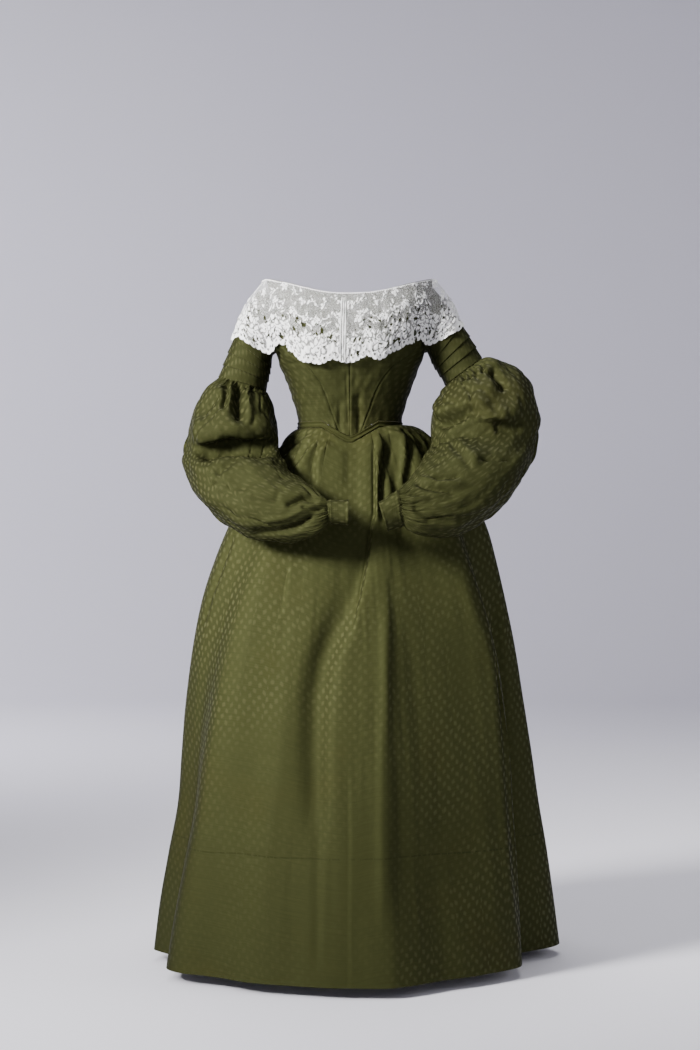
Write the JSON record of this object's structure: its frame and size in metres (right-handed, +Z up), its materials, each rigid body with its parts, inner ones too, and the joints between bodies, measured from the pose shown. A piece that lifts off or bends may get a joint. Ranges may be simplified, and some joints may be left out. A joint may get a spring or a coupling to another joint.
{
  "type": "day dress",
  "caption": "Worn, hollow day dress of figured silk: off-shoulder lace bertha, pointed waist, full puffed sleeves gathered into cuffs, and a wide pleated skirt to the floor.",
  "frame": {"origin": "middle of the waist, level with the side waist seam, where the wearer's waist holds the dress", "axes": "+Z up, the front looks along -Y, +X is the viewer's right and the wearer's left"},
  "size_m": [0.7688, 0.7779, 1.2633],
  "materials": {
    "skirt_silk": "olive silk with small satin lozenges, soft sheen",
    "bodice_silk": "olive silk with small satin lozenges, soft sheen",
    "sleeve_silk": "olive silk with small satin lozenges, soft sheen",
    "waist_band_silk": "plain olive silk over cord",
    "lace": "white needle and bobbin lace, matt"
  },
  "bodies": {
    "root": {"bodice_front_centre_left": "bodice_silk", "bodice_front_centre_right": "bodice_silk", "bodice_front_side_left": "bodice_silk", "bodice_front_side_right": "bodice_silk", "bodice_back_left": "bodice_silk", "bodice_back_right": "bodice_silk", "waist_band": "waist_band_silk", "skirt_front": "skirt_silk", "skirt_side_left": "skirt_silk", "skirt_side_right": "skirt_silk", "skirt_back_left": "skirt_silk", "skirt_back_right": "skirt_silk", "upper_sleeve_left": "sleeve_silk", "upper_sleeve_right": "sleeve_silk", "sleeve_puff_left": "sleeve_silk", "sleeve_puff_right": "sleeve_silk", "cuff_left": "sleeve_silk", "cuff_right": "sleeve_silk", "lace_front_left": "lace", "lace_front_right": "lace", "lace_shoulder_left": "lace", "lace_shoulder_right": "lace", "lace_back_left": "lace", "lace_back_right": "lace"}
  },
  "joints": []
}
